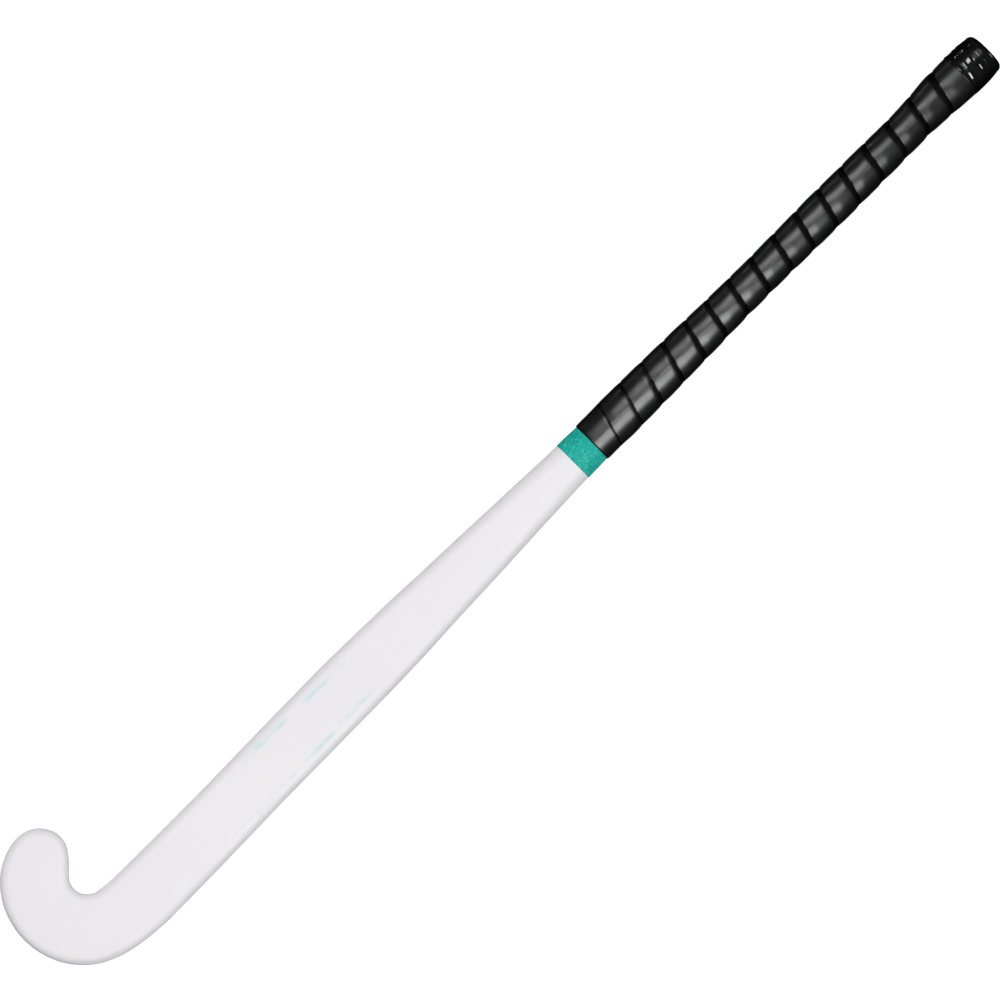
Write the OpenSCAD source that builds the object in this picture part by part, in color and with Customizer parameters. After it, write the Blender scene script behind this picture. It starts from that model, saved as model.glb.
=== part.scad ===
// Field hockey stick: a hollow moulded laminate with a curved hook head,
// foam and rubber cores, a wound cushion grip and a plugged butt.
// It lies on its rounded back with the flat playing face up.
// Flat layout before it is bowed: x runs from the centre of the hook's bend
// to the butt, +y is the toe side, z = 0 is the playing face.

/* [Stick] */
// Length from the butt to the outside of the hook
stick_len = 927; // [900:1:965]
// How far the handle is bent back from the head, in degrees
bow_deg = 8; // [4:0.5:9]
// Roll of the stick as it rests on its back and toe, in degrees
lie_roll = -7.2; // [-8:0.01:8]
// Pitch of the stick as it rests on its bow, in degrees
lie_pitch = 1.2; // [-4:0.01:4]

/* [Head] */
// Radius of the inside of the hook's bend
crook_r = 12; // [11:0.5:14]
// Width of the head across the bend
head_w = 50; // [48:0.5:52]
// Thickness of the head at the bend
head_t = 20; // [18:0.5:21]
// How far the toe reaches past the end of the bend
toe_len = 34.4; // [30:0.2:38]
// How far the head's centreline turns, in degrees
hook_turn = 135; // [130:1:140]

/* [Shaft and handle] */
// Thickness of the laminate wall
wall = 2.8; // [2.2:0.1:3.2]
// Thickness of the web between the two channels of the shaft
rib_t = 1.6; // [1:0.1:3]
// Thickness of the shaft where the grip starts
shaft_t = 25.5; // [24:0.5:27]

/* [Grip] */
// Thickness of the cushion tape at the middle of a turn
tape_t = 1.75; // [1.5:0.05:2]
// Depth of the groove between two turns
groove = 0.8; // [0.3:0.05:1]
// Thickness of the coloured collar band
collar_t = 0.3; // [0.2:0.05:0.5]
// Thickness of the finishing tape at the butt
finish_t = 0.45; // [0.3:0.05:0.6]
// Thickness of the cap's flange past the end of the tube
cap_t = 7.4; // [6:0.2:9]

/* [Hidden] */

head_r = crook_r + head_w / 2;             // centreline radius of the bend
out_r = crook_r + head_w;                  // outside of the bend
kx = (stick_len - out_r) / 865;            // stretches the straight part
butt_x = stick_len - out_r;                // flat end of the cap
tube_end = butt_x - cap_t;                 // end of the laminate tube
bend_end = 270 - hook_turn;                // direction of the toe's last arc ring

// Width of the laminate along the stick, and how far its middle lies off the
// handle's axis.
width_tab = [[0, 49.9], [9, 48.8], [22, 49], [37, 48.5], [65, 48], [94, 47.7],
    [122, 47.4], [162, 47.4], [192, 47.6], [222, 47.7], [250, 47.2],
    [264, 46.6], [285, 45.2], [306, 43.4], [320, 42], [356, 39.4],
    [391, 36.3], [427, 33.4], [448, 31.8], [462, 31.2], [471, 30.4], [480, 29.5],
    [510, 29.4], [525, 29.2], [540, 29], [561, 28.1], [580, 27.2], [600, 26.2],
    [620, 25.4], [640, 25.2], [665, 25.5], [700, 26.4], [745, 26], [780, 25.4],
    [792, 25.5], [807, 27], [818, 28.8], [830, 29.8], [841, 30.3], [850, 29.7],
    [860, 28.2]];
drift_tab = [[0, -2.5], [9, -3.4], [22, -3.9], [62, -3.8], [102, -3.3],
    [142, -2.5], [182, -1.9], [222, -1.3], [262, -1.2], [312, -0.7],
    [362, -0.5], [412, -0.15], [462, 0]];
// Thickness, and the two radii of the face's edges and of the back's edges.
thick_tab = [[0, 0], [22, 0.2], [90, 0.45], [170, 0.65], [270, 0.8],
    [370, 0.95], [427, 1], [497, 1], [607, 0.73], [792, 0.73], [818, 1.05],
    [847, 1.3], [860, 1.3]];
edge_y_tab = [[0, 6.5], [260, 6.8], [360, 7.8], [420, 9.2], [455, 11.6],
    [480, 12.8], [560, 13.2], [860, 14]];
edge_z_tab = [[0, 6], [260, 6.4], [360, 7.4], [420, 9], [455, 11.2], [480, 12],
    [560, 12], [860, 13]];
back_y_tab = [[0, 13], [40, 17], [120, 20], [262, 20], [320, 18], [440, 14.2],
    [480, 14], [860, 14]];
corner_tab = [[0, 2.5], [60, 2.3], [420, 2.3], [480, 2.12], [860, 2.12]];
// Extra thickness of the grip's first turns, where the tape starts doubled.
tape_tab = [[471, -0.35], [488, 0], [497, 0.35], [515, 0.2], [535, 0],
    [830, 0], [841, -0.05]];
// How far the bend's outside lies off its centreline, by direction.
heel_tab = [[-225, -1.3], [-205, -0.6], [-180, -0.1], [-150, 0.2], [-130, -0.1],
    [-115, -1], [-102, -1.4], [-90, -0.6]];

// Places along the stick that have a ring of points.
straight_xs = [9, 22, 37, 58, 80, 104, 128, 152, 176, 200, 224, 246, 264, 280,
    296, 312, 330, 350, 372, 396, 422, 440, 452, 461, 471, 482, 512, 540, 570,
    600, 640, 700, 748, 792, 807, 818, 830, 841, 850];
toe_as = [1, 0.98, 0.945, 0.89, 0.81, 0.71, 0.57, 0.39, 0.19];
bend_steps = 9;
grip_step = 5.2;
collar_a = 452;
collar_b = 471;
finish_a = 841;
plug_a = 792;

function sq(v) = v * v;
function zero_up(v) = max(v, 0);
function sup(v, p) = pow(zero_up(v), 2 / p);

// Height of the bow above the flat layout at x. The head lies in one plane,
// the lower shaft is an arc, and the handle is straight.
bow_a = 12;
bow_b = 362;
bow_k = tan(bow_deg) / (bow_b - bow_a);
bow_s = -(bow_k * sq(bow_b - bow_a) / 2
        + bow_k * (bow_b - bow_a) * (butt_x - bow_b)) / stick_len;
function bow(x) = bow_s * (x + out_r)
    + (x <= bow_a ? 0
     : x <= bow_b ? bow_k * sq(x - bow_a) / 2
     : bow_k * sq(bow_b - bow_a) / 2 + bow_k * (bow_b - bow_a) * (x - bow_b));

// Half widths of the toe past the end of the bend, on its inner and its outer
// side. f is 0 at the end of the bend and 1 at the tip.
function toe_in(f) = let (a = f * 33.6)
    3 + (head_w / 2 - 3.3) * pow(zero_up(1 - pow(zero_up(a - 8) / 25.7, 2.6)), 0.4545);
function toe_out(f) = let (a = f * 33.6)
    -3 + (head_w / 2 + 2) * sqrt(zero_up(1 - sq((a + 6) / 39.65)));
// How far the toe's end rounds away from the face and from the back.
function toe_round(f, r) = let (e = (1 - f) * toe_len)
    e >= r ? 0 : r - sqrt(zero_up(r * r - sq(r - e)));

// A station is [x, y, inward x, inward y, inner half width, outer half width,
// top, bottom, face edge width, face edge depth, back edge width, exponent].
function toe_station(f) =
    let (c = cos(bend_end), s = sin(bend_end), a = f * toe_len,
         hi = toe_in(f), ho = toe_out(f), hm = (hi + ho) / 2,
         top = -toe_round(f, 6), bot = -(head_t - 3 * f) + toe_round(f, 7))
    [head_r * c + a * s, head_r * s - a * c, -c, -s, hi, ho, top, bot,
     min(6.5, hm * 0.6), min(6, (top - bot) * 0.4), min(13, hm * 0.8), 2.5];
function bend_station(d) =
    [head_r * cos(d), head_r * sin(d), -cos(d), -sin(d), head_w / 2 - 0.1,
     head_w / 2 + lookup(d, heel_tab), 0, -head_t, 6.5, 6, 13, 2.5];
function straight_station(v) =
    let (x = min(v * kx, tube_end), w = lookup(v, width_tab) / 2,
         t = head_t + (shaft_t - head_t) * lookup(v, thick_tab))
    [x, -head_r + 2.5 + lookup(v, drift_tab), 0, 1, w, w, 0, -t,
     min(lookup(v, edge_y_tab), w * 0.88), lookup(v, edge_z_tab),
     min(lookup(v, back_y_tab), w * 0.9), lookup(v, corner_tab)];

toe_ring = [for (f = toe_as) toe_station(f)];
bend_ring = [for (d = [-90 - hook_turn:bend_steps:-90]) bend_station(d)];
shaft_ring = [for (v = straight_xs) straight_station(v)];
outer_ring = concat(toe_ring, bend_ring, shaft_ring, [straight_station(900)]);

// The same section grown by g on every side.
function grow(s, g) =
    [s[0], s[1], s[2], s[3], s[4] + g, s[5] + g, s[6] + g, s[7] - g,
     max(s[8] + g, 2), max(s[9] + g, 2), max(s[10] + g, 3), s[11]];

// The 25 points of a station's section, each [across, up]. The second to
// fourth and the two in the middle of the back stand at the web's edges when
// m is half its thickness, and are spread evenly when m is 0.
function section(s, m) =
    let (hi = s[4], ho = s[5], zt = s[6], zb = s[7], fy = s[8], fz = s[9],
         by = s[10], p = s[11], bz = zt - zb - fz,
         f0 = hi - fy, f4 = -(ho - fy), b0 = -(ho - by), b3 = hi - by)
    concat(
        [[f0, zt]],
        m > 0 ? [[m, zt], [0, zt], [-m, zt]]
              : [for (i = [1:3]) [f0 + (f4 - f0) * i / 4, zt]],
        [[f4, zt]],
        [for (i = [1:4]) let (t = 22.5 * i)
            [f4 - fy * sin(t), zt - fz * (1 - cos(t))]],
        [for (i = [1:5]) let (t = 18 * i)
            [b0 - by * sup(cos(t), p), zt - fz - bz * sup(sin(t), p)]],
        m > 0 ? [[-m, zb], [m, zb]]
              : [for (i = [1:2]) [b0 + (b3 - b0) * i / 3, zb]],
        [[b3, zb]],
        [for (i = [4:-1:0]) let (t = 18 * i)
            [b3 + by * sup(cos(t), p), zt - fz - bz * sup(sin(t), p)]],
        [for (i = [3:-1:1]) let (t = 22.5 * i)
            [f0 + fy * sin(t), zt - fz * (1 - cos(t))]]);
function place(s, q) = let (x = s[0] + s[2] * q[0])
    [x, s[1] + s[3] * q[0], q[1] + bow(x)];
function ring(s, m = 0) = [for (q = section(s, m)) place(s, q)];

// Closed skins over a list of rings, all with the same number of points.
function flat_list(l) = [for (a = l) for (b = a) b];
function skin(m, n, wrap) = [for (i = [0:(wrap ? m - 1 : m - 2)]) for (j = [0:n - 1])
    let (i2 = (i + 1) % m, j2 = (j + 1) % n)
    for (f = [[i * n + j, i2 * n + j2, i * n + j2], [i * n + j, i2 * n + j, i2 * n + j2]]) f];
function middle(r) = [for (k = [0:2]) (min([for (p = r) p[k]]) + max([for (p = r) p[k]])) / 2];
function turn_over(fs) = [for (f = fs) [f[2], f[1], f[0]]];
// back is true where the rings run from the butt to the toe.
module capped(rings, back = true) {
    n = len(rings[0]);
    m = len(rings);
    fs = concat(skin(m, n, false),
        [for (j = [0:n - 1]) [m * n, j, (j + 1) % n]],
        [for (j = [0:n - 1]) [m * n + 1, (m - 1) * n + (j + 1) % n, (m - 1) * n + j]]);
    polyhedron(concat(flat_list(rings), [middle(rings[0]), middle(rings[m - 1])]),
        back ? turn_over(fs) : fs);
}
module sleeve(rings) polyhedron(flat_list(rings), turn_over(skin(len(rings), len(rings[0]), true)));

// Sections of the hollow, from the butt to the toe. The head's hollow stops
// short of the tip.
function hollow(s) = grow(s, -wall);
hollow_ring = [for (i = [len(outer_ring) - 1:-1:6]) hollow(outer_ring[i])];
n_straight = len(straight_xs) + 1;
function hollow_from(v) = len([for (x = straight_xs) if (x > v) 1]) + 1;
i_cap = 2;                      // end of the cap's spigot
i_plug = hollow_from(plug_a);   // end of the plug
i_core = hollow_from(37);       // end of the shaft's cores
i_damp = hollow_from(22);       // end of the damper
function hollow_part(a, b) = [for (i = [a:b]) ring(hollow(outer_ring[len(outer_ring) - 1 - i]), rib_t / 2)];
function pick(rings, ids) = [for (r = rings) [for (i = ids) r[i]]];

// Sections of the grip. k counts the tape's turns, and falls by one for each
// time round, so that each turn leans towards the butt on its toe side.
turn_a = 489.1;
turn_p = 20.9;
turn_q = 0.087;
function turn_at(v) = (sqrt(sq(turn_p) + 4 * turn_q * (v - turn_a)) - turn_p) / (2 * turn_q);
function pillow(k) = let (f = k - floor(k))
    f < 0.1 ? 0.35 + 6.5 * f : f < 0.55 ? 1 : 1 - 0.7 * sq((f - 0.55) / 0.45);
function grip_thick(v, s, q) =
    let (mid = (s[6] + s[7]) / 2, phi = atan2(q[0], q[1] - mid),
         wave = v < 476 || v > 828 ? 1 : pillow(turn_at(v) - phi / 360))
    tape_t + lookup(v, tape_tab) - groove * (1 - wave);
function grip_ring(v) =
    let (s = straight_station(v), a = section(s, 0), b = section(grow(s, 1), 0))
    [for (i = [0:len(a) - 1]) place(s, a[i] + (b[i] - a[i]) * grip_thick(v, s, a[i]))];
function cap_ring(g, x) = let (s = grow(straight_station(900), g))
    [for (q = section(s, 0)) [x, s[1] + q[0], q[1] + bow(x)]];

// The whole outline in plan, to bring the origin under the middle of the stick.
lie_pts = [for (r = concat([for (s = outer_ring) ring(s)],
        [for (v = [finish_a, 850, 900]) ring(grow(straight_station(v), tape_t - 0.05 + finish_t))],
        [cap_ring(tape_t - 0.05 + finish_t - 4.5, butt_x)])) for (p = r) p];
function turned(p) = let (a = [p[0], p[1] * cos(lie_roll) - p[2] * sin(lie_roll),
                               p[1] * sin(lie_roll) + p[2] * cos(lie_roll)])
    [a[0] * cos(lie_pitch) + a[2] * sin(lie_pitch), a[1],
     -a[0] * sin(lie_pitch) + a[2] * cos(lie_pitch)];
lie_set = [for (p = lie_pts) turned(p)];
function lowest(k) = min([for (p = lie_set) p[k]]);
function highest(k) = max([for (p = lie_set) p[k]]);
shift = [-(lowest(0) + highest(0)) / 2, -(lowest(1) + highest(1)) / 2, -lowest(2)];
module lying() translate(shift) rotate([lie_roll, lie_pitch, 0]) children();

// Moulded laminate: head skin, shaft and handle tube in one piece, open at the
// butt.
module laminate_shell() color([0.93, 0.92, 0.94]) lying()
    capped(concat([for (s = outer_ring) ring(s)],
                  [for (s = hollow_ring) ring(s, rib_t / 2)]), false);

// Two foam cores lie side by side in the shaft, with the web between them.
module shaft_core_toe_side() color([0.9, 0.82, 0.55]) lying()
    capped(pick(hollow_part(i_plug, i_core), [1, 15, 16, 17, 18, 19, 20, 21, 22, 23, 24, 0]));
module shaft_core_heel_side() color([0.9, 0.82, 0.55]) lying()
    capped(pick(hollow_part(i_plug, i_core), [3, 4, 5, 6, 7, 8, 9, 10, 11, 12, 13, 14]));
module centre_rib() color([0.18, 0.18, 0.2]) lying()
    capped(pick(hollow_part(i_plug, i_core), [1, 2, 3, 14, 15]));

// Dense foam block that fills the hook.
module head_core() color([0.75, 0.68, 0.5]) lying()
    capped(hollow_part(i_damp, len(hollow_ring) - 1));

// Rubber block between the head's core and the shaft's cores.
module heel_damper() color([0.12, 0.12, 0.13]) lying()
    capped(hollow_part(i_core, i_damp));

// Plug that stiffens the open end of the tube.
module handle_plug() color([0.72, 0.55, 0.36]) lying()
    capped(hollow_part(i_cap, i_plug));

// Moulded cap: a flange over the tube, tape and grip, and a spigot in the tube.
module butt_cap() color([0.05, 0.05, 0.055]) lying() let (g = tape_t - 0.05 + finish_t)
    capped(concat([cap_ring(g - 4.5, butt_x)],
        [for (t = [72, 54, 36, 18, 0]) cap_ring(g - 4.5 * (1 - cos(t)), butt_x - 4.5 * (1 - sin(t)))],
        [cap_ring(g, tube_end)], hollow_part(0, i_cap)));

// Cushion tape wound on the handle.
module grip_wrap() color([0.06, 0.06, 0.065]) lying()
    sleeve(concat([for (s = outer_ring) if (s[0] > (collar_b - 1) * kx) ring(s)],
        [for (v = [900, 850, finish_a, 835]) grip_ring(v)],
        [for (v = [829:-grip_step:collar_b + 3]) grip_ring(v)], [grip_ring(collar_b)]));

// Coloured band between the shaft and the grip.
module collar_band() color([0.07, 0.58, 0.53]) lying()
    let (s = [for (v = straight_xs) if (v >= collar_a && v <= collar_b) straight_station(v)],
         n = len(s))
    sleeve(concat([for (i = [0:n - 1]) ring(s[i])],
                  [for (i = [n - 1:-1:0]) ring(grow(s[i], collar_t))]));

// Glossy finishing tape round the last of the grip.
module butt_tape() color([0.03, 0.03, 0.035]) lying()
    let (g = tape_t - 0.05)
    sleeve(concat([for (v = [finish_a, 850, 900]) ring(grow(straight_station(v), g))],
                  [for (v = [900, 850, finish_a]) ring(grow(straight_station(v), g + finish_t))]));

laminate_shell();
shaft_core_toe_side();
shaft_core_heel_side();
centre_rib();
head_core();
heel_damper();
handle_plug();
butt_cap();
grip_wrap();
collar_band();
butt_tape();
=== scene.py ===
import math

import bmesh
import bpy
import numpy as np
from mathutils import Matrix, Vector


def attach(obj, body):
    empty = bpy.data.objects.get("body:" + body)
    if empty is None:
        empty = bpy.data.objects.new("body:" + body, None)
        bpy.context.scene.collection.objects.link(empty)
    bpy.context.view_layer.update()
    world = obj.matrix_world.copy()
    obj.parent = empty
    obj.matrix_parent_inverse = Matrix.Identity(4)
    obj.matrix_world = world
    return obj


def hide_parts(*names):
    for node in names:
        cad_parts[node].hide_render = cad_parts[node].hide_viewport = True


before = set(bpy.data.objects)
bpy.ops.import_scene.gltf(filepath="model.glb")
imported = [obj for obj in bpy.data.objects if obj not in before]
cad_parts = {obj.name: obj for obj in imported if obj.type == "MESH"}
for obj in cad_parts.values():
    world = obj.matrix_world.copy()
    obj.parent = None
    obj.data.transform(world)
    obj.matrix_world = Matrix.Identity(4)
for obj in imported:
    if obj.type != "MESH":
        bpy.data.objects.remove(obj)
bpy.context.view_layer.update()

# ---------------------------------------------------------------------------
# The stick's own layout, in millimetres. x runs from the centre of the hook's
# bend to the butt, +y is the toe side, and z = 0 is the playing face. bow()
# then bends it, and to_row() lays it down as it rests.
# ---------------------------------------------------------------------------
HEAD_R, HALF_W, HEAD_T, TOE_LEN, TURN = 37.0, 25.0, 20.0, 34.4, 135.0
STICK_LEN, OUT_R, BUTT_X, TUBE_END = 927.0, 62.0, 865.0, 857.6
SHAFT_T, TAPE_T, GROOVE, COLLAR_T, FINISH_T = 25.5, 1.75, 0.8, 0.3, 0.45
COLLAR_A, COLLAR_B, FINISH_A = 452.0, 471.0, 839.4
ROLL, PITCH = math.radians(-7.2), math.radians(1.2)
BOW_A, BOW_B = 12.0, 362.0
BOW_K = math.tan(math.radians(8)) / (BOW_B - BOW_A)
BOW_S = -(BOW_K * (BOW_B - BOW_A) ** 2 / 2 + BOW_K * (BOW_B - BOW_A) * (BUTT_X - BOW_B)) / STICK_LEN


def bow(x):
    x = np.asarray(x, float)
    mid = np.clip(x, BOW_A, BOW_B)
    return BOW_S * (x + OUT_R) + BOW_K * (mid - BOW_A) ** 2 / 2 + BOW_K * (BOW_B - BOW_A) * np.maximum(x - BOW_B, 0)


def smooth_table(rows):
    """A curve through a short table that never overshoots it."""
    x, y = (np.array(c, float) for c in zip(*rows))
    h, d = np.diff(x), np.diff(y) / np.diff(x)
    m = np.zeros(len(x))
    for i in range(1, len(x) - 1):
        if d[i - 1] * d[i] > 0:
            w1, w2 = 2 * h[i] + h[i - 1], h[i] + 2 * h[i - 1]
            m[i] = (w1 + w2) / (w1 / d[i - 1] + w2 / d[i])
    m[0], m[-1] = d[0], d[-1]

    def f(v):
        v = np.clip(np.asarray(v, float), x[0], x[-1])
        i = np.clip(np.searchsorted(x, v, side="right") - 1, 0, len(h) - 1)
        t = (v - x[i]) / h[i]
        return (
            (1 + 2 * t) * (1 - t) ** 2 * y[i]
            + t * (1 - t) ** 2 * h[i] * m[i]
            + t * t * (3 - 2 * t) * y[i + 1]
            + t * t * (t - 1) * h[i] * m[i + 1]
        )

    return f


width_at = smooth_table([(0, 48.5), (9, 48.4), (22, 48.8), (37, 48.5), (65, 48), (94, 47.6), (122, 47.3),
    (162, 47.5), (192, 47.6), (222, 47.7), (250, 46.9), (264, 46.2), (285, 45.1), (306, 43.2), (320, 42),
    (356, 39.4), (391, 36.3), (427, 33.4), (448, 31.8), (462, 31.2), (471, 30.4), (480, 29.6), (497, 29.45),
    (510, 29.4), (525, 29.25), (540, 28.95), (561, 28.1), (580, 27.15), (600, 26.15), (620, 25.4), (640, 25.2),
    (665, 25.5), (700, 26.4), (722, 26.2), (745, 26), (780, 25.4), (792, 25.5), (807, 27), (818, 28.8), (830, 29.8),
    (841, 30.3), (850, 29.7), (860, 28.2)])
drift_at = smooth_table([(0, -2.65), (9, -3.6), (22, -4), (37, -4), (62, -3.85), (102, -3.3), (142, -2.4),
    (182, -1.8), (222, -1.25), (262, -1.15), (312, -0.7), (362, -0.5), (412, -0.15), (462, 0), (780, 0),
    (806, 0.5), (818, 0.6), (832, 0.2), (846, -0.2), (860, -0.2)])
thick_at = smooth_table([(0, 0), (22, 0.2), (90, 0.45), (170, 0.65), (270, 0.8), (370, 0.95), (427, 1),
    (497, 1), (607, 0.73), (792, 0.73), (818, 1.05), (847, 1.3), (860, 1.3)])
edge_y_at = smooth_table([(0, 6.5), (260, 6.8), (360, 7.8), (420, 9.2), (455, 11.6), (480, 12.8), (560, 13.2), (860, 14)])
edge_z_at = smooth_table([(0, 6), (260, 6.4), (360, 7.4), (420, 9), (455, 11.2), (480, 12), (560, 12), (860, 13)])
back_y_at = smooth_table([(0, 13), (40, 17), (120, 20), (262, 20), (320, 18), (440, 14.2), (480, 14), (860, 14)])
corner_at = smooth_table([(0, 2.5), (60, 2.3), (420, 2.3), (480, 2.12), (860, 2.12)])
tape_at = smooth_table([(471, -0.35), (488, 0), (497, 0.35), (515, 0.2), (535, 0), (830, 0), (841, -0.05)])
heel_at = smooth_table([(-225, -1.3), (-205, -0.6), (-180, -0.1), (-150, 0.2), (-130, -0.1), (-115, -1),
    (-102, -1.4), (-90, -0.6)])
crook_at = smooth_table([(-225, -0.1), (-130, -0.1), (-110, -0.5), (-100, -0.7), (-90, -0.9)])

SHIFT = np.array([-401.423, 5.98187, 47.4462])


def turned(p):
    """Rolls and pitches points to the way the stick lies."""
    y = p[..., 1] * math.cos(ROLL) - p[..., 2] * math.sin(ROLL)
    z = p[..., 1] * math.sin(ROLL) + p[..., 2] * math.cos(ROLL)
    return np.stack([p[..., 0] * math.cos(PITCH) + z * math.sin(PITCH), y,
                     -p[..., 0] * math.sin(PITCH) + z * math.cos(PITCH)], -1)


def to_row(x, y, z, bent=True):
    """Row-frame metres from layout millimetres."""
    x, y, z = np.broadcast_arrays(*(np.asarray(v, float) for v in (x, y, z)))
    return (turned(np.stack([x, y, z + (bow(x) if bent else 0)], -1)) + SHIFT) / 1000


# ---------------------------------------------------------------------------
# Sections
# ---------------------------------------------------------------------------
def stations():
    """Every section of the stick from the toe's tip to the open end of the tube."""
    rows = []
    c, s = math.cos(math.radians(270 - TURN)), math.sin(math.radians(270 - TURN))
    for f in 1 - np.linspace(0.0005, 1, 46) ** 1.7:
        a, far = f * 33.6, f * TOE_LEN
        hi = 3 + (HALF_W - 3.3) * max(0, 1 - (max(a - 8, 0) / 25.61) ** 2.6) ** 0.4545
        ho = -3 + (HALF_W + 2) * math.sqrt(max(0, 1 - ((a + 6) / 39.61) ** 2))
        rows.append([HEAD_R * c + far * s, HEAD_R * s - far * c, -c, -s, hi, ho, HEAD_T - 3 * f, 6.5, 6, 13, 2.5])
    for d in np.linspace(-90 - TURN, -90, 76)[1:]:
        r = math.radians(d)
        rows.append([HEAD_R * math.cos(r), HEAD_R * math.sin(r), -math.cos(r), -math.sin(r),
                     HALF_W + float(crook_at(d)), HALF_W + float(heel_at(d)), HEAD_T, 6.5, 6, 13, 2.5])
    xs = np.concatenate([np.arange(1.5, 60, 1.5), np.arange(60, TUBE_END, 2.0), [TUBE_END]])
    for x in xs:
        w = float(width_at(x)) / 2
        rows.append([x, -HEAD_R + 2.5 + float(drift_at(x)), 0, 1, w, w,
                     HEAD_T + (SHAFT_T - HEAD_T) * float(thick_at(x)), min(float(edge_y_at(x)), w * 0.88),
                     float(edge_z_at(x)), min(float(back_y_at(x)), w * 0.92), float(corner_at(x))])
    return np.array(rows)


def across(st, n_corner=12, n_flat=22, n_back=16, n_floor=8):
    """For each station, the ring's places across: distance q from the centreline, and whether it is on the back."""
    hi, ho, fy, by, p = (st[:, i][:, None] for i in (4, 5, 7, 9, 10))
    hm = (hi + ho) / 2
    fy, by = np.minimum(fy, hm * 0.98), np.minimum(by, hm * 0.98)
    t = np.linspace(0, math.pi / 2, n_corner + 1)[None, :]
    e = fy * (1 - np.cos(t))                       # from the edge inwards
    left = hi - e
    right = -(ho - e)[:, ::-1]
    flat = np.linspace(0, 1, n_flat + 1)[1:-1][None, :]
    top = np.concatenate([left, left[:, -1:] * (1 - flat) + right[:, :1] * flat, right], 1)
    t = np.linspace(0, math.pi / 2, n_back + 1)[None, :]
    e = by * (1 - np.cos(t) ** (2 / p))
    right = -(ho - e)[:, 1:]
    left = (hi - e)[:, 1:][:, ::-1]
    flat = np.linspace(0, 1, n_floor + 1)[1:-1][None, :]
    back = np.concatenate([right, right[:, -1:] * (1 - flat) + left[:, :1] * flat, left], 1)
    q = np.concatenate([top, back], 1)
    return q, np.arange(q.shape[1]) >= top.shape[1]


def edge_depth(e, fy, fz, by, p, t, back):
    """Height of the surface at e inside the outline."""
    u = np.clip((fy - e) / fy, 0, 1)
    face = -fz * (1 - np.sqrt(1 - u * u))
    u = np.clip((by - e) / by, 0, 1)
    under = -fz - (t - fz) * np.maximum(1 - u ** p, 0) ** (1 / p)
    return np.where(back, under, face)


def inside_distance(px, py, line):
    """Distance of points from a closed line of points, in chunks."""
    a, b = line, np.roll(line, -1, 0)
    ab = b - a
    ll = np.maximum((ab ** 2).sum(1), 1e-12)
    out = np.empty(len(px))
    for i in range(0, len(px), 2000):
        p = np.stack([px[i:i + 2000], py[i:i + 2000]], 1)[:, None, :]
        t = np.clip(((p - a) * ab).sum(2) / ll, 0, 1)
        out[i:i + 2000] = np.sqrt((((p - a) - t[..., None] * ab) ** 2).sum(2).min(1))
    return out


def solid_section(st):
    """Points of the laminate's outside, (station, ring, 3), in the flat layout."""
    q, back = across(st)
    x = st[:, 0][:, None] + st[:, 2][:, None] * q
    y = st[:, 1][:, None] + st[:, 3][:, None] * q
    e = np.where(q > 0, st[:, 4][:, None] - q, q + st[:, 5][:, None])
    head = int((st[:, 0] < 30).nonzero()[0].max()) + 1
    inner = np.stack([st[:, 0] + st[:, 2] * st[:, 4], st[:, 1] + st[:, 3] * st[:, 4]], 1)
    outer = np.stack([st[:, 0] - st[:, 2] * st[:, 5], st[:, 1] - st[:, 3] * st[:, 5]], 1)
    line = np.concatenate([outer[:head + 40][::-1], inner[:head + 40]])
    true_e = inside_distance(x[:head].ravel(), y[:head].ravel(), line).reshape(head, -1)
    n_top = int((~back).sum())
    true_e[:, 0] = true_e[:, n_top - 1] = 0
    e[:head] = true_e
    p = [st[:, i][:, None] for i in (7, 8, 9, 10, 6)]
    z = edge_depth(np.maximum(e, 0), p[0], p[1], p[2], p[3], p[4], back[None, :])
    return np.stack([x, y, z], -1), back


# ---------------------------------------------------------------------------
# Meshes
# ---------------------------------------------------------------------------
def make_object(name, verts, faces, mat, uv=None, uv2=None, smooth=True):
    me = bpy.data.meshes.new(name)
    me.from_pydata([tuple(v) for v in verts], [], faces)
    me.validate()
    idx = np.empty(len(me.loops), np.int32)
    me.loops.foreach_get("vertex_index", idx)
    for layer_name, values in (("lay", uv), ("extra", uv2)):
        if values is not None:
            layer = me.uv_layers.new(name=layer_name)
            layer.data.foreach_set("uv", np.asarray(values, np.float32)[idx].ravel())
    me.materials.append(mat)
    ob = bpy.data.objects.new(name, me)
    bpy.context.scene.collection.objects.link(ob)
    if smooth:
        me.polygons.foreach_set("use_smooth", [True] * len(me.polygons))
    return ob


def ring_faces(m, n, base=0):
    """Quads between m rings of n points."""
    i, j = np.meshgrid(np.arange(m - 1), np.arange(n), indexing="ij")
    i, j, j2 = i.ravel(), j.ravel(), (j.ravel() + 1) % n
    return (np.stack([i * n + j, i * n + j2, (i + 1) * n + j2, (i + 1) * n + j], 1) + base).tolist()


def outward(ob):
    bm = bmesh.new()
    bm.from_mesh(ob.data)
    bmesh.ops.remove_doubles(bm, verts=bm.verts, dist=2e-7)
    bmesh.ops.dissolve_degenerate(bm, edges=bm.edges, dist=1e-8)
    bmesh.ops.recalc_face_normals(bm, faces=bm.faces)
    bm.to_mesh(ob.data)
    bm.free()
    ob.data.polygons.foreach_set("use_smooth", [True] * len(ob.data.polygons))
    ob.data.update()


def finish_piece(ob, node):
    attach(ob, "root")
    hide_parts(node)


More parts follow.
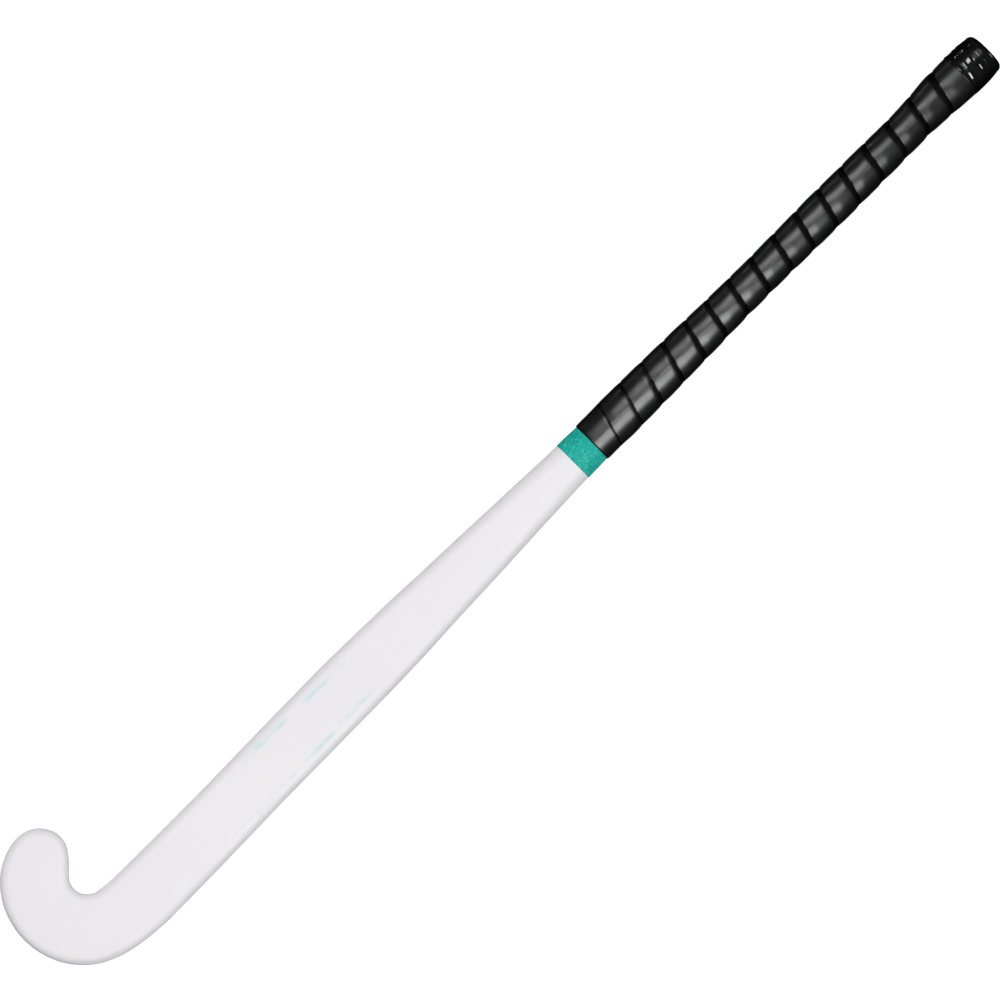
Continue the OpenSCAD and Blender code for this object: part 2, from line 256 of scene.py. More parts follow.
# ---------------------------------------------------------------------------
# Material helpers
# ---------------------------------------------------------------------------
class Mat:
    def __init__(self, name):
        self.mat = bpy.data.materials.new(name)
        self.mat.use_nodes = True
        self.t = self.mat.node_tree
        self.t.nodes.clear()
        self.out = self.add("ShaderNodeOutputMaterial")
        self.b = self.add("ShaderNodeBsdfPrincipled")
        self.link(self.b.outputs[0], self.out.inputs[0])
        self.coord = self.add("ShaderNodeTexCoord")

    def add(self, kind, **props):
        n = self.t.nodes.new(kind)
        for k, v in props.items():
            setattr(n, k, v)
        return n

    def link(self, a, b):
        self.t.links.new(a, b)

    def set(self, **kw):
        for k, v in kw.items():
            self.b.inputs[k.replace("_", " ")].default_value = v

    def mapping(self, source, scale=(1, 1, 1), rot=(0, 0, 0), loc=(0, 0, 0)):
        m = self.add("ShaderNodeMapping")
        m.inputs["Scale"].default_value = scale
        m.inputs["Rotation"].default_value = rot
        m.inputs["Location"].default_value = loc
        self.link(source, m.inputs["Vector"])
        return m.outputs[0]

    def noise(self, source, scale, detail=3, rough=0.5, distortion=0.0):
        n = self.add("ShaderNodeTexNoise")
        n.inputs["Scale"].default_value = scale
        n.inputs["Detail"].default_value = detail
        n.inputs["Roughness"].default_value = rough
        n.inputs["Distortion"].default_value = distortion
        self.link(source, n.inputs["Vector"])
        return n.outputs[0]

    def voronoi(self, source, scale, feature="F1", rand=1.0):
        n = self.add("ShaderNodeTexVoronoi", feature=feature)
        n.inputs["Scale"].default_value = scale
        n.inputs["Randomness"].default_value = rand
        self.link(source, n.inputs["Vector"])
        return n.outputs["Distance"]

    def ramp(self, fac, stops, interp="LINEAR"):
        r = self.add("ShaderNodeValToRGB")
        r.color_ramp.interpolation = interp
        while len(r.color_ramp.elements) < len(stops):
            r.color_ramp.elements.new(0.5)
        for el, (pos, col) in zip(r.color_ramp.elements, stops):
            el.position = pos
            el.color = (*col, 1) if isinstance(col, (tuple, list)) else (col, col, col, 1)
        self.link(fac, r.inputs[0])
        return r.outputs[0]

    def math(self, op, a, b=None, clamp=False):
        n = self.add("ShaderNodeMath", operation=op, use_clamp=clamp)
        for i, v in enumerate((a, b)):
            if v is None:
                continue
            if isinstance(v, (int, float)):
                n.inputs[i].default_value = v
            else:
                self.link(v, n.inputs[i])
        return n.outputs[0]

    def mix(self, fac, a, b, blend="MIX"):
        n = self.add("ShaderNodeMix", data_type="RGBA", blend_type=blend)
        for i, v in ((0, fac), (6, a), (7, b)):
            if isinstance(v, (int, float)):
                n.inputs[i].default_value = v
            elif isinstance(v, (tuple, list)):
                n.inputs[i].default_value = (*v, 1)
            else:
                self.link(v, n.inputs[i])
        return n.outputs[2]

    def remap(self, v, a, b, c, d):
        n = self.add("ShaderNodeMapRange", clamp=True)
        for i, x in enumerate((a, b, c, d)):
            n.inputs[i + 1].default_value = x
        self.link(v, n.inputs[0])
        return n.outputs[0]

    def bump(self, height, distance, strength=1.0, normal=None):
        n = self.add("ShaderNodeBump")
        n.inputs["Strength"].default_value = strength
        n.inputs["Distance"].default_value = distance
        self.link(height, n.inputs["Height"])
        if normal is not None:
            self.link(normal, n.inputs["Normal"])
        return n.outputs[0]

    def uv(self, name="lay"):
        n = self.add("ShaderNodeUVMap", uv_map=name)
        return n.outputs[0]

    def obj(self):
        return self.coord.outputs["Object"]

    def xyz(self, source):
        s = self.add("ShaderNodeSeparateXYZ")
        self.link(source, s.inputs[0])
        return s.outputs[0], s.outputs[1], s.outputs[2]


def white_lacquer():
    m = Mat("white_lacquer")
    m.set(Roughness=0.5, IOR=1.45, Specular_IOR_Level=0.22)
    o = m.obj()
    cloud = m.noise(o, 9, 4, 0.55)
    base = m.ramp(cloud, [(0.3, (0.763, 0.750, 0.780)), (0.7, (0.785, 0.773, 0.801))])
    # Two rows of faint broken streaks on the face, either side of the middle.
    plan = m.uv()
    u, v, _ = m.xyz(plan)
    on_face, _, _ = m.xyz(m.uv("extra"))
    streaks = None
    for mid, lean, a, b, seed in ((-0.0205, 0.010, 0.132, 0.240, 3.1), (-0.0515, -0.045, 0.108, 0.240, 8.4)):
        row = m.math("SUBTRACT", v, m.math("ADD", m.math("MULTIPLY", m.math("SUBTRACT", u, 0.18), -lean), mid))
        grain = m.noise(m.mapping(plan, (95, 900, 1), loc=(seed, seed * 2, 0)), 1.0, 3, 0.6, 0.4)
        patch = m.noise(m.mapping(plan, (46, 60, 1), loc=(seed * 3, 0, 0)), 1.0, 1, 0.5)
        band = m.remap(m.math("ABSOLUTE", row), 0.0003, 0.0028, 1, 0)
        reach = m.math("MULTIPLY", m.remap(u, a, a + 0.012, 0, 1), m.remap(u, b - 0.008, b, 1, 0))
        mark = m.math("MULTIPLY", m.remap(grain, 0.42, 0.62, 0, 1), m.remap(patch, 0.38, 0.54, 0, 1))
        mark = m.math("MULTIPLY", m.math("MULTIPLY", mark, band), reach)
        streaks = mark if streaks is None else m.math("MAXIMUM", streaks, mark)
    streaks = m.math("MULTIPLY", streaks, m.remap(on_face, 0.9, 1, 0, 0.8))
    base = m.mix(streaks, base, (0.40, 0.66, 0.64))
    m.link(base, m.b.inputs["Base Color"])
    haze = m.noise(o, 40, 5, 0.6)
    m.link(m.remap(haze, 0.3, 0.7, 0.46, 0.56), m.b.inputs["Roughness"])
    peel = m.noise(o, 420, 3, 0.5)
    m.link(m.bump(peel, 0.00004, 0.5), m.b.inputs["Normal"])
    return m.mat


def teal_tape():
    m = Mat("teal_tape")
    m.set(IOR=1.45, Specular_IOR_Level=0.12)
    uv = m.uv()
    n = m.noise(uv, 240, 3, 0.55, 1.4)
    fleck = m.noise(m.mapping(uv, (1, 1, 1), loc=(3, 7, 0)), 420, 3, 0.6, 1.0)
    base = m.ramp(n, [(0.38, (0.0, 0.330, 0.265)), (0.50, (0.002, 0.385, 0.315)), (0.60, (0.016, 0.430, 0.362)),
                      (0.69, (0.075, 0.490, 0.430))])
    base = m.mix(m.remap(fleck, 0.56, 0.66, 0, 0.5), base, (0.12, 0.53, 0.47))
    m.link(base, m.b.inputs["Base Color"])
    m.link(m.remap(n, 0.3, 0.7, 0.5, 0.62), m.b.inputs["Roughness"])
    m.link(m.bump(n, 0.00008, 0.6), m.b.inputs["Normal"])
    return m.mat


def grip_cushion():
    m = Mat("grip_cushion")
    m.set(IOR=1.62)
    uv = m.uv()
    grain = m.noise(uv, 1500, 3, 0.6)
    soft = m.noise(uv, 60, 4, 0.6)
    base = m.ramp(soft, [(0.3, (0.0035, 0.0035, 0.0037)), (0.7, (0.0050, 0.0050, 0.0052))])
    # Painted shade: the tape's colour is darkened towards black in the seams between laps, where shade falls; the
    # same mask also lowers the roughness there.
    _, groove_shade_mask, _ = m.xyz(m.uv("extra"))
    base = m.mix(m.remap(groove_shade_mask, 0, 1, 1, 0.25), (0, 0, 0), base)
    m.link(base, m.b.inputs["Base Color"])
    r = m.math("MULTIPLY", m.remap(soft, 0.25, 0.75, 0.30, 0.35), m.remap(groove_shade_mask, 0, 1, 1, 0.5))
    m.link(r, m.b.inputs["Roughness"])
    n1 = m.bump(grain, 0.00003, 0.5)
    n2 = m.bump(soft, 0.0002, 0.25, n1)
    m.link(n2, m.b.inputs["Normal"])
    return m.mat


def gloss_tape():
    m = Mat("black_gloss_tape")
    m.set(IOR=1.7, Coat_Weight=1.0, Coat_Roughness=0.08)
    uv = m.uv()
    n = m.noise(m.mapping(uv, (1, 0.35, 1)), 160, 3, 0.5)
    m.link(m.ramp(n, [(0.3, (0.002, 0.002, 0.0022)), (0.7, (0.0038, 0.0038, 0.004))]), m.b.inputs["Base Color"])
    m.link(m.remap(n, 0.3, 0.7, 0.10, 0.18), m.b.inputs["Roughness"])
    m.link(m.bump(n, 0.00008, 0.3), m.b.inputs["Normal"])
    return m.mat


def cap_plastic():
    m = Mat("cap_plastic")
    m.set(IOR=1.5)
    o = m.obj()
    n = m.noise(o, 500, 2, 0.5)
    m.link(m.ramp(n, [(0.3, (0.003, 0.003, 0.0032)), (0.7, (0.005, 0.005, 0.0052))]), m.b.inputs["Base Color"])
    m.link(m.remap(n, 0.3, 0.7, 0.13, 0.17), m.b.inputs["Roughness"])
    m.link(m.bump(n, 0.00002, 0.2), m.b.inputs["Normal"])
    return m.mat


def inner_stuff(name, dark, light, scale, rough, bump):
    m = Mat(name)
    o = m.obj()
    n = m.noise(o, scale, 4, 0.6)
    v = m.voronoi(o, scale * 4)
    m.link(m.ramp(m.math("ADD", m.math("MULTIPLY", n, 0.7), m.math("MULTIPLY", v, 0.3)),
                  [(0.3, dark), (0.7, light)]), m.b.inputs["Base Color"])
    m.link(m.remap(n, 0.3, 0.7, rough - 0.08, rough + 0.08), m.b.inputs["Roughness"])
    m.link(m.bump(v, bump, 0.5), m.b.inputs["Normal"])
    return m.mat


LACQUER, TEAL, GRIP, GLOSS, CAP = white_lacquer(), teal_tape(), grip_cushion(), gloss_tape(), cap_plastic()

# ---------------------------------------------------------------------------
# Laminate
# ---------------------------------------------------------------------------
ST = stations()
SKIN, ON_BACK = solid_section(ST)


def build_shell():
    m, n = SKIN.shape[:2]
    pts = to_row(SKIN[..., 0], SKIN[..., 1], SKIN[..., 2]).reshape(-1, 3)
    uv = (SKIN[..., :2] / 1000).reshape(-1, 2)
    side = np.zeros((m, n, 2))
    side[:, ~ON_BACK, 0] = 1
    side = side.reshape(-1, 2)
    faces = ring_faces(m, n)
    ends = [pts[:n].mean(0), pts[-n:].mean(0)]
    pts = np.concatenate([pts, ends])
    uv = np.concatenate([uv, uv[:1], uv[-1:]])
    side = np.concatenate([side, side[:1], side[-1:]])
    faces += [[m * n, (j + 1) % n, j] for j in range(n)]
    faces += [[m * n + 1, (m - 1) * n + j, (m - 1) * n + (j + 1) % n] for j in range(n)]
    ob = make_object("painted_shell", pts, faces, LACQUER, uv, side)
    outward(ob)
    finish_piece(ob, "laminate_shell")
    return ob


# ---------------------------------------------------------------------------
# The handle's section by direction: radius at phi, which is 0 on the face and
# 90 degrees on the toe side.
# ---------------------------------------------------------------------------
PHI = np.radians(np.arange(0, 361, 1.5))


def handle_table():
    rows = np.array([i for i in range(len(ST)) if ST[i, 0] > 440 and ST[i, 2] == 0])
    rad = []
    for i in rows:
        y = SKIN[i, :, 1] - ST[i, 1]
        z = SKIN[i, :, 2] + ST[i, 6] / 2
        a = np.arctan2(y, z) % (2 * math.pi)
        r = np.hypot(y, z)
        k = np.argsort(a)
        rad.append(np.interp(PHI, a[k], r[k], period=2 * math.pi))
    return ST[rows, 0], np.array(rad)


HX, HRAD = handle_table()


def handle_half(x):
    """Half the handle's width and half its thickness."""
    x = np.clip(x, HX[0], 860)
    return width_at(x) / 2, (HEAD_T + (SHAFT_T - HEAD_T) * thick_at(x)) / 2


def round_radius(x, phi, out):
    """Radius of the rounder section that a wound tape takes, out millimetres outside the handle."""
    a, b = handle_half(x)
    s, c = np.abs(np.sin(phi)) / (a + out), np.abs(np.cos(phi)) / (b + out)
    return (s ** 2.1 + c ** 2.1) ** (-1 / 2.1)


def handle_radius(x, phi):
    x = np.clip(x, HX[0], HX[-1])
    phi = np.asarray(phi) % (2 * math.pi)
    i = np.clip(np.searchsorted(HX, x) - 1, 0, len(HX) - 2)
    t = (x - HX[i]) / (HX[i + 1] - HX[i])
    fj = phi / (PHI[1] - PHI[0])
    j = np.clip(fj.astype(int), 0, len(PHI) - 2)
    u = fj - j
    return ((1 - t) * (1 - u) * HRAD[i, j] + t * (1 - u) * HRAD[i + 1, j]
            + (1 - t) * u * HRAD[i, j + 1] + t * u * HRAD[i + 1, j + 1])


def on_handle(x, phi, out, wound=0.0):
    """Row-frame point at x, out millimetres outside the laminate in the direction phi."""
    x, phi, out = np.broadcast_arrays(x, phi, out)
    r = handle_radius(x, phi) + out
    if wound:
        r = r * (1 - wound) + round_radius(x, phi, out) * wound
    t = HEAD_T + (SHAFT_T - HEAD_T) * thick_at(np.minimum(x, 860))
    yc = -HEAD_R + 2.5 + drift_at(np.minimum(x, 860))
    return to_row(x, yc + r * np.sin(phi), -t / 2 + r * np.cos(phi))


def sleeve(name, xs, outs_outer, inner_out, mat, cols=160, wound=0.0):
    """A closed sleeve: its outside at rows xs with outs_outer(x, phi), and its inside on inner_out."""
    phi = np.arange(cols) * 2 * math.pi / cols
    outer = on_handle(xs[:, None], phi[None, :], outs_outer(xs[:, None], phi[None, :]), wound)
    xi = np.linspace(xs[-1], xs[0], max(2, len(xs) // 6))
    inner = on_handle(xi[:, None], phi[None, :], inner_out, wound)
    pts = np.concatenate([outer.reshape(-1, 3), inner.reshape(-1, 3)])
    m = len(xs) + len(xi)
    faces = ring_faces(m, cols)
    faces += [[(m - 1) * cols + j, (m - 1) * cols + (j + 1) % cols, (j + 1) % cols, j] for j in range(cols)]
    r0 = 0.0155
    uv = np.stack(np.broadcast_arrays(np.concatenate([xs, xi])[:, None] / 1000, (phi * r0)[None, :]), -1)
    ob = make_object(name, pts, faces, mat, uv.reshape(-1, 2))
    outward(ob)
    return ob


# ---------------------------------------------------------------------------
# Grip
# ---------------------------------------------------------------------------
TURN_A, TURN_P, TURN_Q = 489.6, 21.16, 0.0775


def turn_x(k):
    return TURN_A + TURN_P * k + TURN_Q * k * k


def wander(k, phi):
    """How far each wound seam strays towards the head from an even spiral; k counts turns along the tape."""
    lag = np.interp(k, [0, 1, 2, 3, 4, 5, 6, 7, 8, 9, 10, 11, 12, 13, 14, 15, 16, 16.5],
                    [0, -0.3, 0, 0.1, -0.5, 0.35, 0.55, 0.6, 0.5, 1.1, 0.75, 1.3, 1.15, 1.0, 1.7, 2.5, 0.9, 0])
    bow = np.interp(k, [0, 3, 4, 5, 8, 9, 11, 12, 14, 15, 16, 16.5], [0, 0, 1.1, 1.9, 1.9, 1.1, 1.3, 2.8, 2.5, 1.6, 0.5, 0])
    return lag + bow * np.sin(2 * phi) / 2


def x_turn(x):
    return (np.sqrt(TURN_P ** 2 + 4 * TURN_Q * (x - TURN_A)) - TURN_P) / (2 * TURN_Q)


pillow_at = smooth_table([(0, 0), (0.010, 0.48), (0.016, 0.59), (0.022, 0.61), (0.03, 0.622), (0.1, 0.718), (0.2, 0.857), (0.26, 0.94),
    (0.29, 0.972), (0.33, 0.99), (0.4, 1), (0.62, 1), (0.7, 0.998), (0.752, 0.985), (0.785, 0.933), (0.817, 0.844),
    (0.85, 0.72), (0.9, 0.48), (0.95, 0.24), (1, 0)])
shallow_at = smooth_table([(0, 0.5), (0.008, 0.80), (0.016, 0.90), (0.03, 0.94), (0.12, 0.97), (0.3, 1), (0.7, 1),
    (0.84, 0.992), (0.91, 0.95), (0.95, 0.84), (1, 0.5)])
deep_at = smooth_table([(0, 0), (0.5, 0.1), (1, 0.5), (2, 0.72), (3, 0.86), (5, 1), (20, 1)])


def grip_out(k, x, phi):
    """How far the tape's outside stands off the laminate, k turns from the first seam."""
    f = k - np.floor(k)
    deep = deep_at(np.maximum(k + phi / (2 * math.pi), 0))
    high = pillow_at(f)
    late = 0.3 * np.clip((k - 7) / 7, 0, 1) + 0.2 * np.clip((k - 12) / 2, 0, 1)
    tilt = 0.33 * np.clip((1 - 1.6 * np.sin(phi)) * (1 + late), 0.3 + 0.3 * np.clip((k - 12) / 2, 0, 1), 2.1)
    high = np.where(f < 0.022, high / 0.61 * (1 - tilt), np.where(f < 0.45, 1 - (1 - high) / 0.39 * tilt, high))
    wave = high * deep + shallow_at(f) * (1 - deep)
    wob = 0.05 * np.sin(3.1 * k + 2 * phi) + 0.04 * np.sin(7.3 * k - 3 * phi)
    body = TAPE_T + tape_at(x) + wob - (GROOVE + 0.6 * np.cos(phi) ** 2) * (1 - wave)
    flat = np.clip((x - 834.5) / 4, 0, 1)
    lip = np.clip((x - COLLAR_B) / 3.2, 0, 1)
    start = np.clip((x - COLLAR_B) / 6, 0, 1)
    body = body * start + (TAPE_T - 0.35) * (1 - start)
    body = body * (0.42 + 0.58 * np.sqrt(1 - (1 - lip) ** 2))
    return body * (1 - flat) + (TAPE_T - 0.05) * flat, wave


def build_grip(cols=144):
    fr = [0, 0.004, 0.008, 0.013, 0.018, 0.024, 0.032, 0.045, 0.065, 0.1, 0.15, 0.2, 0.26, 0.32, 0.4, 0.5, 0.6, 0.67, 0.72,
          0.76, 0.79, 0.82, 0.85, 0.875, 0.9, 0.92, 0.94, 0.955, 0.97, 0.985]
    per = len(fr)
    k_rows = np.concatenate([np.array(fr) + t for t in range(-2, 19)])
    phi = np.arange(cols) * 2 * math.pi / cols
    xa, xb = COLLAR_B, TUBE_END
    ka, kb = x_turn(xa) - phi / (2 * math.pi), x_turn(xb) - phi / (2 * math.pi)
    k = np.clip(k_rows[:, None], ka[None, :], kb[None, :])
    along = k + phi[None, :] / (2 * math.pi)
    x = np.clip(turn_x(along) - wander(along, phi[None, :]), xa, xb)
    out_x, wave = grip_out(k, x, phi[None, :])
    pts = on_handle(x, phi[None, :], out_x, 1.0)
    rows = len(k_rows)
    faces = []
    idx = np.arange(rows * cols).reshape(rows, cols)
    a, b, c, d = idx[:-1, :-1], idx[:-1, 1:], idx[1:, 1:], idx[1:, :-1]
    faces += np.stack([a.ravel(), b.ravel(), c.ravel(), d.ravel()], 1).tolist()
    # The last column meets the first one turn on.
    r = np.arange(rows - 1 - per)
    faces += np.stack([idx[r, -1], idx[r + per, 0], idx[r + 1 + per, 0], idx[r + 1, -1]], 1).tolist()
    uv = np.stack([x / 1000, np.broadcast_to(phi[None, :] * 0.0155, x.shape)], -1).reshape(-1, 2)
    # Ends and inside.
    x_in = np.concatenate([[xa, xa], np.linspace(xa + 3, xb - 3, 36), [xb, xb]])
    out = np.zeros((len(x_in), cols))
    out[0] = grip_out(ka, np.full(cols, xa), phi)[0]
    out[-1] = grip_out(kb, np.full(cols, xb), phi)[0]
    inner = on_handle(x_in[:, None], phi[None, :], out)
    inner[0] = on_handle(xa, phi, out[0], 1.0)
    inner[-1] = on_handle(xb, phi, out[-1], 1.0)
    base = rows * cols
    faces += ring_faces(len(x_in), cols, base)
    uv = np.concatenate([uv, np.stack(np.broadcast_arrays(x_in[:, None] / 1000, phi[None, :] * 0.0155), -1).reshape(-1, 2)])
    pts = np.concatenate([pts.reshape(-1, 3), inner.reshape(-1, 3)])
    # Mask of the seams between laps, kept in the extra layer's second channel: the material paints shade there by
    # darkening the tape's colour, and lowers its roughness.
    f = k - np.floor(k)
    deep = deep_at(np.maximum(k + phi[None, :] / (2 * math.pi), 0))
    wide = np.clip((f - 0.76) / 0.15, 0, 1)
    slim = np.clip((f - 0.93) / 0.05, 0, 1)
    groove_shade_mask = np.where(f < 0.5, np.clip(1 - f / 0.018, 0, 1), wide * deep + slim * (1 - deep))
    crease = np.zeros((len(pts), 2))
    crease[:, 0] = 1
    crease[:wave.size, 0] = wave.ravel()
    crease[:wave.size, 1] = groove_shade_mask.ravel()
    ob = make_object("cushion_grip", pts, faces, GRIP, uv, crease)
    outward(ob)
    finish_piece(ob, "grip_wrap")
    return ob


# ---------------------------------------------------------------------------
# Collar band, finishing tape and cap
# ---------------------------------------------------------------------------
def build_collar():
    xs = np.concatenate([[COLLAR_A, COLLAR_A + 0.1, COLLAR_A + 0.3], np.linspace(COLLAR_A + 0.8, COLLAR_B - 0.8, 22),
                         [COLLAR_B - 0.3, COLLAR_B]])

    def out(x, phi):
        e = np.minimum(x - COLLAR_A, COLLAR_B + 0.4 - x)
        rim = np.sqrt(np.clip(1 - (1 - np.clip(e / 0.3, 0, 1)) ** 2, 0, 1))
        lap = 0.10 * np.clip((np.cos(phi - 2.6) - 0.75) / 0.03, 0, 1)
        return 0.06 + (COLLAR_T - 0.06) * rim + lap + 0.02 * np.sin(5 * phi + 0.3 * x)

    ob = sleeve("teal_collar", xs, out, 0.0, TEAL)
    finish_piece(ob, "collar_band")


def finish_waves(x, phi):
    """Laps of the finishing tape: each rises on a short round flank and falls away gently towards the butt."""
    # Crest at the face, lean, then height and the flank's roundness on the toe side and on the heel side, and
    # where the heel side's part of the lap is highest.
    laps = [(840.4, 0.0, 0.22, -0.2, 1.6, 1.0, 0.0), (844.9, 3.0, 0.27, 0.30, 4.0, 2.2, -0.20), (850.1, 3.0, 0.35, -0.2, 14.0, 1.0, 0.0),
            (854.3, 2.0, -0.2, 0.36, 9.0, 3.2, -0.33)]
    side = np.clip(0.5 + 2.5 * np.sin(phi + 0.02), 0, 1)
    total = 0.13 - 0.03 * np.maximum(853 - x, 0) - 0.012 * np.maximum(x - 853, 0) - 0.015 * np.maximum(x - 858.5, 0) + 0 * phi
    for i, (mid, lean, h_toe, h_heel, r_toe, r_heel, peak) in enumerate(laps):
        u = x - mid - lean * np.sin(phi) - 0.10 * np.sin(4 * phi + 2.1 * i)
        r = r_heel + (r_toe - r_heel) * side
        reach = (0.5 - 0.25 * side) * r
        rise = u * u / (2 * r) + 1.2 * np.maximum(-u - reach, 0) ** 2
        h_side = h_heel - 0.9 * np.maximum(np.abs(np.sin(phi) - peak) - 0.10, 0)
        total = np.maximum(total, h_side + (h_toe - h_side) * side - np.where(u < 0, rise, 0.11 * u))
    return total


def build_finish():
    xs = np.concatenate([[FINISH_A, FINISH_A + 0.08, FINISH_A + 0.25], np.arange(FINISH_A + 0.5, TUBE_END, 0.25), [TUBE_END]])

    def out(x, phi):
        rim = np.clip((x - FINISH_A) / 0.12, 0, 1)
        fade = np.clip((TUBE_END - x) / 0.3, 0, 1) * np.clip((x - FINISH_A) / 0.6, 0, 1)
        return TAPE_T - 0.05 + 0.1 + (FINISH_T - 0.1) * rim + (finish_waves(x, phi) - 0.12) * fade

    ob = sleeve("finishing_tape", xs, out, TAPE_T - 0.05, GLOSS, 200, 1.0)
    finish_piece(ob, "butt_tape")


def build_cap(cols=200):
    phi = np.arange(cols) * 2 * math.pi / cols
    g = TAPE_T - 0.05 + FINISH_T
    prof = [(TUBE_END, g)]                                       # (x, out)
    prof += [(TUBE_END + 0.1, g - 0.14)]
    prof += [(x, g - 0.15) for x in np.linspace(TUBE_END + 0.4, BUTT_X - 4.5, 6)]
    prof += [(BUTT_X - 4.5 * (1 - math.sin(t)), g - 0.15 - 4.35 * (1 - math.cos(t)))
             for t in np.linspace(0.08, math.pi / 2, 14)]
    rows = [on_handle(x, phi, o, 1.0) for x, o in prof]
    # Flat end with a shallow ring groove, drawn towards the middle.
    rim = np.array([BUTT_X, 0])
    r_rim = g - 4.5
    base = round_radius(np.full(cols, TUBE_END), phi, r_rim)
    for s, dz in ((0.97, 0), (0.9, 0), (0.885, -0.05), (0.87, -0.35), (0.85, -0.4), (0.83, -0.35), (0.815, -0.05),
                  (0.8, 0), (0.6, 0), (0.4, 0), (0.2, 0), (0.05, 0)):
        out = base * s - handle_radius(np.full(cols, TUBE_END), phi)
        rows.append(on_handle(BUTT_X + dz, phi, out))
    # Spigot inside the tube.
    inner = [on_handle(x, phi, o) for x, o in ((TUBE_END, -2.8), (845, -2.8), (842, -2.9), (841, -3.6))]
    pts = np.concatenate([np.concatenate(inner[::-1]), np.concatenate(rows)])
    m = len(inner) + len(rows)
    faces = ring_faces(m, cols)
    pts = np.concatenate([pts, [pts[:cols].mean(0), pts[-cols:].mean(0)]])
    faces += [[m * cols, (j + 1) % cols, j] for j in range(cols)]
    faces += [[m * cols + 1, (m - 1) * cols + j, (m - 1) * cols + (j + 1) % cols] for j in range(cols)]
    uv = np.zeros((len(pts), 2))
    uv[:, 0], uv[:, 1] = pts[:, 1], pts[:, 2]
    ob = make_object("end_cap", pts, faces, CAP, uv)
    outward(ob)
    finish_piece(ob, "butt_cap")


build_shell()
build_grip()
build_collar()
build_finish()
build_cap()

# The pieces inside keep their construction shapes.
for node, mat in {
    "shaft_core_toe_side": inner_stuff("light_foam", (0.80, 0.70, 0.42), (0.90, 0.82, 0.56), 250, 0.8, 0.0004),
    "centre_rib": inner_stuff("bare_laminate", (0.012, 0.012, 0.013), (0.04, 0.04, 0.042), 500, 0.4, 0.0001),
    "head_core": inner_stuff("dense_foam", (0.62, 0.54, 0.36), (0.76, 0.68, 0.5), 400, 0.75, 0.0002),
    "heel_damper": inner_stuff("damper_rubber", (0.018, 0.018, 0.019), (0.035, 0.035, 0.036), 600, 0.7, 0.0001),
    "handle_plug": inner_stuff("plug_wood", (0.36, 0.22, 0.11), (0.60, 0.42, 0.23), 120, 0.7, 0.0002),
}.items():
    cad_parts[node].data.materials.clear()
    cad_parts[node].data.materials.append(mat)
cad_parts["shaft_core_heel_side"].data.materials.clear()
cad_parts["shaft_core_heel_side"].data.materials.append(bpy.data.materials["light_foam"])

# ---------------------------------------------------------------------------
# Stage, light and camera
# ---------------------------------------------------------------------------
def stage_material(name, colour, glow):
    m = Mat(name)
    n = m.noise(m.obj(), 3, 2, 0.5)
    m.link(m.ramp(n, [(0, tuple(c * 0.985 for c in colour)), (1, colour)]), m.b.inputs["Base Color"])
    m.set(Roughness=0.9, Specular_IOR_Level=0.0)
    m.b.inputs["Emission Color"].default_value = (1, 1, 1, 1)
    m.b.inputs["Emission Strength"].default_value = glow
    return m.mat


def build_stage():
    rings = [(0.0, 0.0)] + [(r, 0.0) for r in (0.5, 1, 2, 4, 8, 14)]
    rings += [(14 + 6 * math.sin(t), 6 * (1 - math.cos(t))) for t in np.linspace(0.15, math.pi / 2, 12)]
    rings += [(20, 14)]
    n = 96
    a = np.arange(n) * 2 * math.pi / n
    pts = [(0, 0, -0.0002)]
    for r, z in rings[1:]:
        pts += [(r * math.cos(t), r * math.sin(t), z - 0.0002) for t in a]
    faces = [[0, 1 + j, 1 + (j + 1) % n] for j in range(n)]
    faces += [f[::-1] for f in ring_faces(len(rings) - 1, n, 1)]
    me = bpy.data.meshes.new("studio_floor")
    me.from_pydata(pts, [], faces)
    me.polygons.foreach_set("use_smooth", [True] * len(me.polygons))
    me.materials.append(stage_material("studio_paper", (0.32, 0.32, 0.32), 0.86))
    ob = bpy.data.objects.new("studio_floor", me)
    bpy.context.scene.collection.objects.link(ob)
    ob.visible_glossy = ob.visible_diffuse = ob.visible_shadow = False


build_stage()

world = bpy.data.worlds.new("studio")
bpy.context.scene.world = world
world.use_nodes = True
wt = world.node_tree
bg = wt.nodes["Background"]
wc = wt.nodes.new("ShaderNodeTexCoord")
ws = wt.nodes.new("ShaderNodeSeparateXYZ")
wr = wt.nodes.new("ShaderNodeValToRGB")
wt.links.new(wc.outputs["Generated"], ws.inputs[0])
wt.links.new(ws.outputs[2], wr.inputs[0])
wr.color_ramp.elements[0].position, wr.color_ramp.elements[0].color = 0.0, (0.02, 0.02, 0.02, 1)
wr.color_ramp.elements[1].position, wr.color_ramp.elements[1].color = 0.75, (1, 1, 1, 1)
wt.links.new(wr.outputs[0], bg.inputs[0])
bg.inputs[1].default_value = 0.05

# Axes of the layout in the row frame.
AX, AY, AZ = (Vector(turned(np.array(v, float))) for v in ((1, 0, 0), (0, 1, 0), (0, 0, 1)))
MID = Vector(to_row(396.16, -17.4, -12, bent=False))
ALONG = Vector(to_row(400, -34.5, -12, bent=False))


def softbox(name, side_deg, dist, length, width, power, along=0.0, shows="both"):
    """A long box light parallel to the stick, side_deg from its face's normal towards the heel side."""
    a = math.radians(side_deg)
    away = (AZ * math.cos(a) - AY * math.sin(a)).normalized()
    data = bpy.data.lights.new(name, "AREA")
    data.shape, data.size, data.size_y = "RECTANGLE", length, width
    data.energy = power
    ob = bpy.data.objects.new(name, data)
    bpy.context.scene.collection.objects.link(ob)
    z = away
    x = AX
    y = z.cross(x).normalized()
    ob.matrix_world = Matrix((( x.x, y.x, z.x, 0), (x.y, y.y, z.y, 0), (x.z, y.z, z.z, 0), (0, 0, 0, 1)))
    ob.location = ALONG + away * dist + AX * along
    ob.visible_camera = False
    ob.visible_glossy = shows != "diffuse"
    ob.visible_diffuse = shows != "gloss"
    return ob


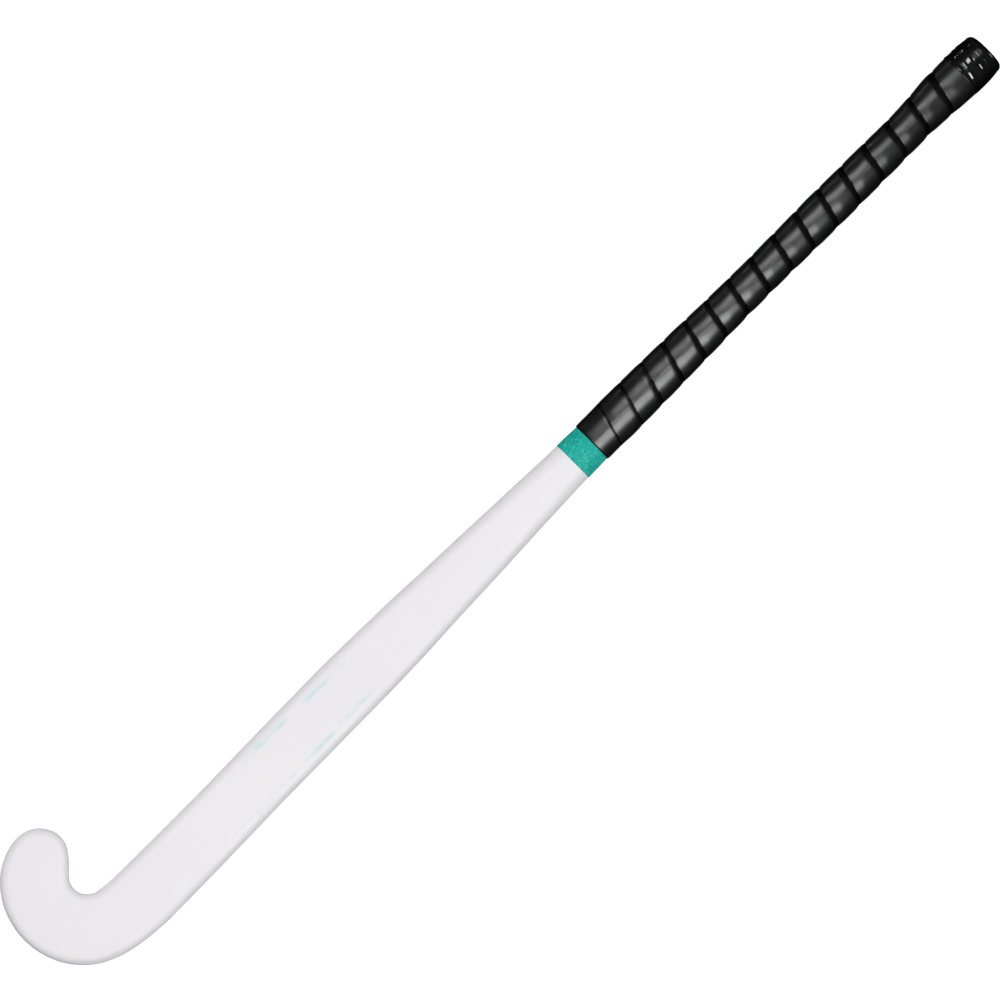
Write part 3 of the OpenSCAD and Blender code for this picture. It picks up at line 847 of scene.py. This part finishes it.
# Two strips draw the bands along the grip; the soft panels light everything else.
softbox("strip_toe", -19.4, 1.2, 0.445, 0.552, 4.1, 0.2725, "gloss")
softbox("strip_heel", 26.2, 0.7, 0.64, 0.439, 7.15, -0.13, "gloss")
softbox("strip_side", -84, 3.0, 0.5, 0.10, 1.4, 0.45, "gloss")
softbox("panel_top", 0, 3.2, 4.5, 4.5, 125, 0.3, "diffuse")
softbox("panel_toe", -60, 3.0, 3.0, 1.5, 29, 0.1, "diffuse")
softbox("panel_heel", 60, 3.0, 3.0, 1.5, 25, 0.1, "diffuse")
softbox("underglow", 180, 0.6, 7.0, 7.0, 123, 0.0, "diffuse")

cam_data = bpy.data.cameras.new("camera")
cam_data.lens, cam_data.sensor_width, cam_data.sensor_fit = 200, 36, "AUTO"
cam = bpy.data.objects.new("camera", cam_data)
bpy.context.scene.collection.objects.link(cam)
TH = math.radians(44.859)
right = (AX * math.cos(TH) - AY * math.sin(TH)).normalized()
up = (AX * math.sin(TH) + AY * math.cos(TH)).normalized()
back_dir = right.cross(up).normalized()
dist = cam_data.lens * 0.7082 / 36
cam.matrix_world = Matrix(((right.x, up.x, back_dir.x, 0), (right.y, up.y, back_dir.y, 0),
                           (right.z, up.z, back_dir.z, 0), (0, 0, 0, 1)))
cam.location = MID + back_dir * dist
cam_data.clip_start, cam_data.clip_end = 0.05, 200

# A small light low behind the butt draws a thin line on the cap's rounded edge.
edge = Vector(to_row(864.2, -40.5, -3))
away = (AX * 0.93 - AY * 0.32 + AZ * 0.16).normalized()
rim = softbox("rim_butt", 0, 1.0, 0.40, 0.24, 3.0, 0.0, "gloss")
wide = (AY - away * AY.dot(away)).normalized()
tall = away.cross(wide).normalized()
rim.matrix_world = Matrix(((wide.x, tall.x, away.x, 0), (wide.y, tall.y, away.y, 0), (wide.z, tall.z, away.z, 0),
                           (0, 0, 0, 1)))
rim.location = edge + away * 1.5
bpy.context.scene.camera = cam

scene = bpy.context.scene
scene.view_settings.view_transform = "Standard"
scene.view_settings.look = "None"
scene.view_settings.exposure = 0.0
scene.view_settings.gamma = 1.0
